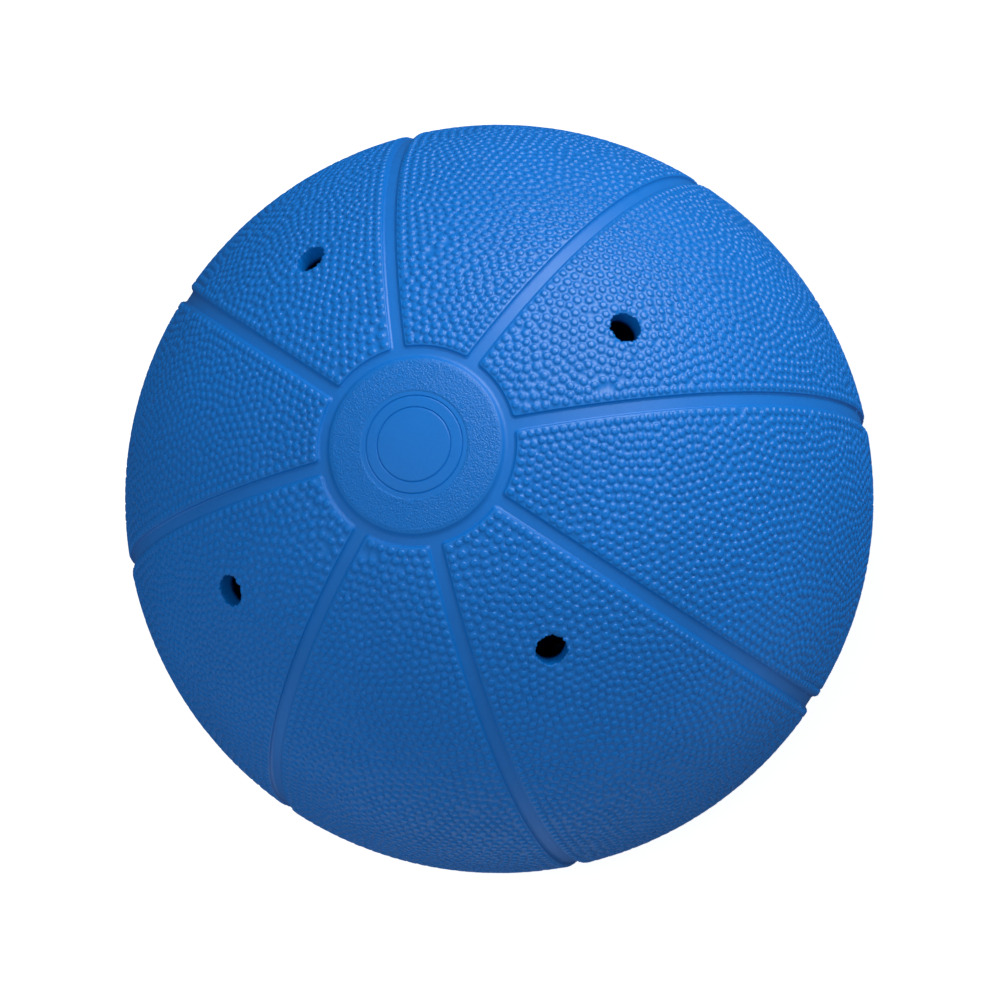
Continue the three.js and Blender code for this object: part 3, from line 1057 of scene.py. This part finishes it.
def rubber_material(name, low_roughness, high_roughness):
    """The ball's blue rubber, with one roughness at the land's radius and below and one at the crests."""
    material, tree, shader, place = new_material(name)
    cloud = noise(tree, place, *RUBBER_CLOUD)
    speck = noise(tree, place, *RUBBER_SPECK)
    mottle = plus(tree, times(tree, cloud, CLOUD_SHARE), times(tree, speck, 1.0 - CLOUD_SHARE))
    tone = ranged(tree, mottle, 0.0, 1.0, *NOISE_SPAN)
    tree.links.new(blended(tree, tone, RUBBER_DARK, RUBBER_LIGHT), shader.inputs["Base Color"])
    patches = noise(tree, place, *RUBBER_PATCHES)
    patchy = ranged(tree, patches, -PATCH_ROUGHNESS, PATCH_ROUGHNESS, *NOISE_SPAN)
    polish = by_radius(tree, place, low_roughness, high_roughness)
    tree.links.new(plus(tree, patchy, polish), shader.inputs["Roughness"])
    return material, tree, shader, place


def panel_rubber():
    """Rubber with a fine grain that is faint between the pebbles and full on their crests."""
    material, tree, shader, place = rubber_material("panel_rubber", LAND_ROUGHNESS, CREST_ROUGHNESS)
    grain = noise(tree, place, *PANEL_GRAIN)
    worn = by_radius(tree, place, LAND_GRAIN_SHARE, 1.0)
    bumped(tree, shader, times(tree, grain, worn), PANEL_BUMP, PANEL_BUMP_STRENGTH)
    return material


def core_rubber():
    """Smooth rubber, with a sandy grain on the end disc outside its plain middle."""
    material, tree, shader, place = rubber_material("core_rubber", CHANNEL_ROUGHNESS, CREST_ROUGHNESS)
    fine = noise(tree, place, *CORE_GRAIN)
    coarse = noise(tree, place, *SANDY_GRAIN)
    split = tree.nodes.new("ShaderNodeSeparateXYZ")
    tree.links.new(place, split.inputs["Vector"])
    squares = [times(tree, split.outputs[axis], split.outputs[axis]) for axis in ("X", "Y")]
    distance = math_node(tree, "POWER", plus(tree, *squares), 0.5)
    inner = ranged(tree, distance, 0.0, 1.0, *SANDY_START)
    outer = ranged(tree, distance, 1.0, 0.0, *SANDY_END)
    outside = by_radius(tree, place, 0.0, 1.0, HOLLOW_RADIUS, FLOOR_RADIUS)
    sandy = times(tree, times(tree, inner, outer), outside)
    sand = times(tree, times(tree, coarse, sandy), SANDY_SHARE)
    bumped(tree, shader, plus(tree, times(tree, fine, CORE_GRAIN_SHARE), sand), CORE_BUMP, 1.0)
    return material


def steel_material(name, colour, scale):
    """Worn steel, lighter and darker in patches and with faint dents."""
    material, tree, shader, place = new_material(name)
    light = tuple(min(1.0, c * STEEL_LIGHTEN) for c in colour)
    dark = tuple(c * STEEL_DARKEN for c in colour)
    worn = ranged(tree, noise(tree, place, scale, 5.0, 0.65), 0.0, 1.0, *STEEL_WEAR_SPAN)
    tree.links.new(blended(tree, worn, dark, light), shader.inputs["Base Color"])
    rough = ranged(tree, noise(tree, place, 3 * scale, 4.0, 0.6), *STEEL_ROUGHNESS, *NOISE_SPAN)
    tree.links.new(rough, shader.inputs["Roughness"])
    shader.inputs["Metallic"].default_value = 1.0
    bumped(tree, shader, noise(tree, place, 2 * scale, 4.0, 0.6), STEEL_BUMP, STEEL_BUMP_STRENGTH)
    return material


# Pieces

def dress(piece, body, node):
    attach(piece, body)
    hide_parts(node)


def make_shells():
    """Each half as one core and eight panels; the lower half is the upper one turned over."""
    panel_finish = panel_rubber()
    core_finish = core_rubber()
    points, faces = lathe(core_profile(), CORE_SEGMENTS)
    core = mesh_object("upper_core", points, faces, core_finish)
    cut_by(core, hole_cutters())
    core.data.set_sharp_from_angle(angle=math.radians(CORE_SHARP_DEGREES))
    lower = bpy.data.objects.new("lower_core", core.data.copy())
    lower.data.transform(Matrix.Rotation(math.pi, 4, "X"))
    bpy.context.scene.collection.objects.link(lower)
    dress(core, "ball", "upper_shell")
    dress(lower, "ball", "lower_shell")
    for number in range(CHANNEL_COUNT):
        direction = hole_direction(number // 2, True) if number % 2 == 0 else None
        points, triangles = build_panel(PANEL_SEED + number, direction)
        points = turned_about_z(points, PANEL_HALF_ANGLE * (1 + 2 * number))
        for half, placed in (("upper", points), ("lower", turned_over(points))):
            panel = mesh_object(f"{half}_panel_{number + 1}", placed, [triangles], panel_finish)
            dress(panel, "ball", f"{half}_shell")


def make_bells():
    """Two jingle bells, each of an upper cup, a slotted lower cup, a loop and a loose pellet."""
    steel = steel_material("bell_steel", BELL_COLOUR, BELL_WEAR_SCALE)
    shot = steel_material("pellet_steel", PELLET_COLOUR, PELLET_WEAR_SCALE)
    lower_points, lower_faces = bell_cup(rim_from(*LOWER_RIM), True)
    parts = {
        "upper_cup": bell_cup(rim_from(*UPPER_RIM), False),
        "lower_cup": (turned_over(lower_points), lower_faces),
        "loop": bell_loop(),
    }
    places = {joint["child"]: np.array(joint["pos_m"]) for joint in frame["joints"]}
    for number in (1, 2):
        centre = places[f"bell_{number}_clapper"]
        for part, (points, faces) in parts.items():
            node = f"bell_{number}_{part}"
            piece = mesh_object(f"{node}_finished", points + centre, [faces], steel, BELL_SHARP_DEGREES)
            dress(piece, f"bell_{number}", node)
        points, faces = bell_pellet(PELLET_SEED + number)
        node = f"bell_{number}_pellet"
        points = points + centre - (0, 0, PELLET_DROP)
        piece = mesh_object(f"{node}_finished", points, faces, shot, BELL_SHARP_DEGREES)
        dress(piece, f"bell_{number}_clapper", node)


# Camera and studio

def make_camera():
    """The photograph's camera, and its right, up and backward directions."""
    back = CAMERA_RIGHT.cross(CAMERA_UP).normalized()
    right = CAMERA_UP.cross(back).normalized()
    up = back.cross(right)
    data = bpy.data.cameras.new("camera")
    data.sensor_width = SENSOR_WIDTH
    data.lens = SENSOR_WIDTH * PHOTO_FOCAL / PHOTO_SIZE
    data.shift_x = (PHOTO_SIZE / 2 - PHOTO_CENTRE[0]) / PHOTO_SIZE
    data.shift_y = (PHOTO_CENTRE[1] - PHOTO_SIZE / 2) / PHOTO_SIZE
    camera = bpy.data.objects.new("camera", data)
    turn = Matrix((right, up, back)).transposed().to_4x4()
    camera.matrix_world = Matrix.Translation(back * CAMERA_DISTANCE) @ turn
    bpy.context.scene.collection.objects.link(camera)
    bpy.context.scene.camera = camera
    return right, up, back


def make_world():
    """A white room that lights the ball evenly and hardly shows in its gloss."""
    world = bpy.data.worlds.new("studio")
    world.use_nodes = True
    tree = world.node_tree
    background = tree.nodes["Background"]
    background.inputs["Color"].default_value = (*WHITE, 1)
    in_gloss = tree.nodes.new("ShaderNodeLightPath").outputs["Is Glossy Ray"]
    tree.links.new(ranged(tree, in_gloss, ROOM_LIGHT, ROOM_GLOSS), background.inputs["Strength"])
    bpy.context.scene.world = world
    world.cycles.sampling_method = "NONE"


def make_floor():
    """A glowing white floor under the ball, which neither lights it nor shows in its gloss."""
    material, tree, shader, place = new_material("pale_floor")
    mottle = noise(tree, place, *FLOOR_MOTTLE)
    tree.links.new(blended(tree, mottle, FLOOR_DARK, FLOOR_LIGHT), shader.inputs["Base Color"])
    shader.inputs["Roughness"].default_value = FLOOR_ROUGHNESS
    shader.inputs["Emission Color"].default_value = (*WHITE, 1)
    shader.inputs["Emission Strength"].default_value = FLOOR_GLOW
    corners = ((-1, -1), (1, -1), (1, 1), (-1, 1))
    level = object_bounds()[0].z
    points = np.array([[x * FLOOR_HALF, y * FLOOR_HALF, level] for x, y in corners])
    floor = mesh_object("floor", points, [np.array([[0, 1, 2, 3]])], material)
    floor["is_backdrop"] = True
    floor.visible_glossy = False
    floor.visible_diffuse = False
    return floor


def area_light(name, direction, size, power, colour):
    data = bpy.data.lights.new(name, "AREA")
    data.shape = "DISK"
    data.size = size
    data.energy = power
    data.color = colour
    light = bpy.data.objects.new(name, data)
    direction = direction.normalized()
    turn = direction.to_track_quat("Z", "Y").to_matrix().to_4x4()
    light.matrix_world = Matrix.Translation(direction * STUDIO_DISTANCE) @ turn
    bpy.context.scene.collection.objects.link(light)
    return light


def make_lights(right, up, back, floor):
    """The studio's lights about the camera's axis; some of them leave the floor out."""
    all_but_floor = bpy.data.collections.new("all_but_floor")
    for piece in bpy.context.scene.objects:
        if piece.type == "MESH" and piece != floor:
            all_but_floor.objects.link(piece)
    for name, tilt, turn, size, power, colour, in_gloss_too, on_floor in STUDIO_LIGHTS:
        tilt, turn = math.radians(tilt), math.radians(turn)
        sideways = math.cos(turn) * right + math.sin(turn) * up
        way = math.sin(tilt) * sideways + math.cos(tilt) * back
        light = area_light(name, way, size, power, colour)
        light.visible_glossy = in_gloss_too
        if not on_floor:
            light.light_linking.receiver_collection = all_but_floor


make_shells()
make_bells()
axes = make_camera()
bpy.context.scene.view_settings.view_transform = "Standard"
make_world()
make_lights(*axes, make_floor())
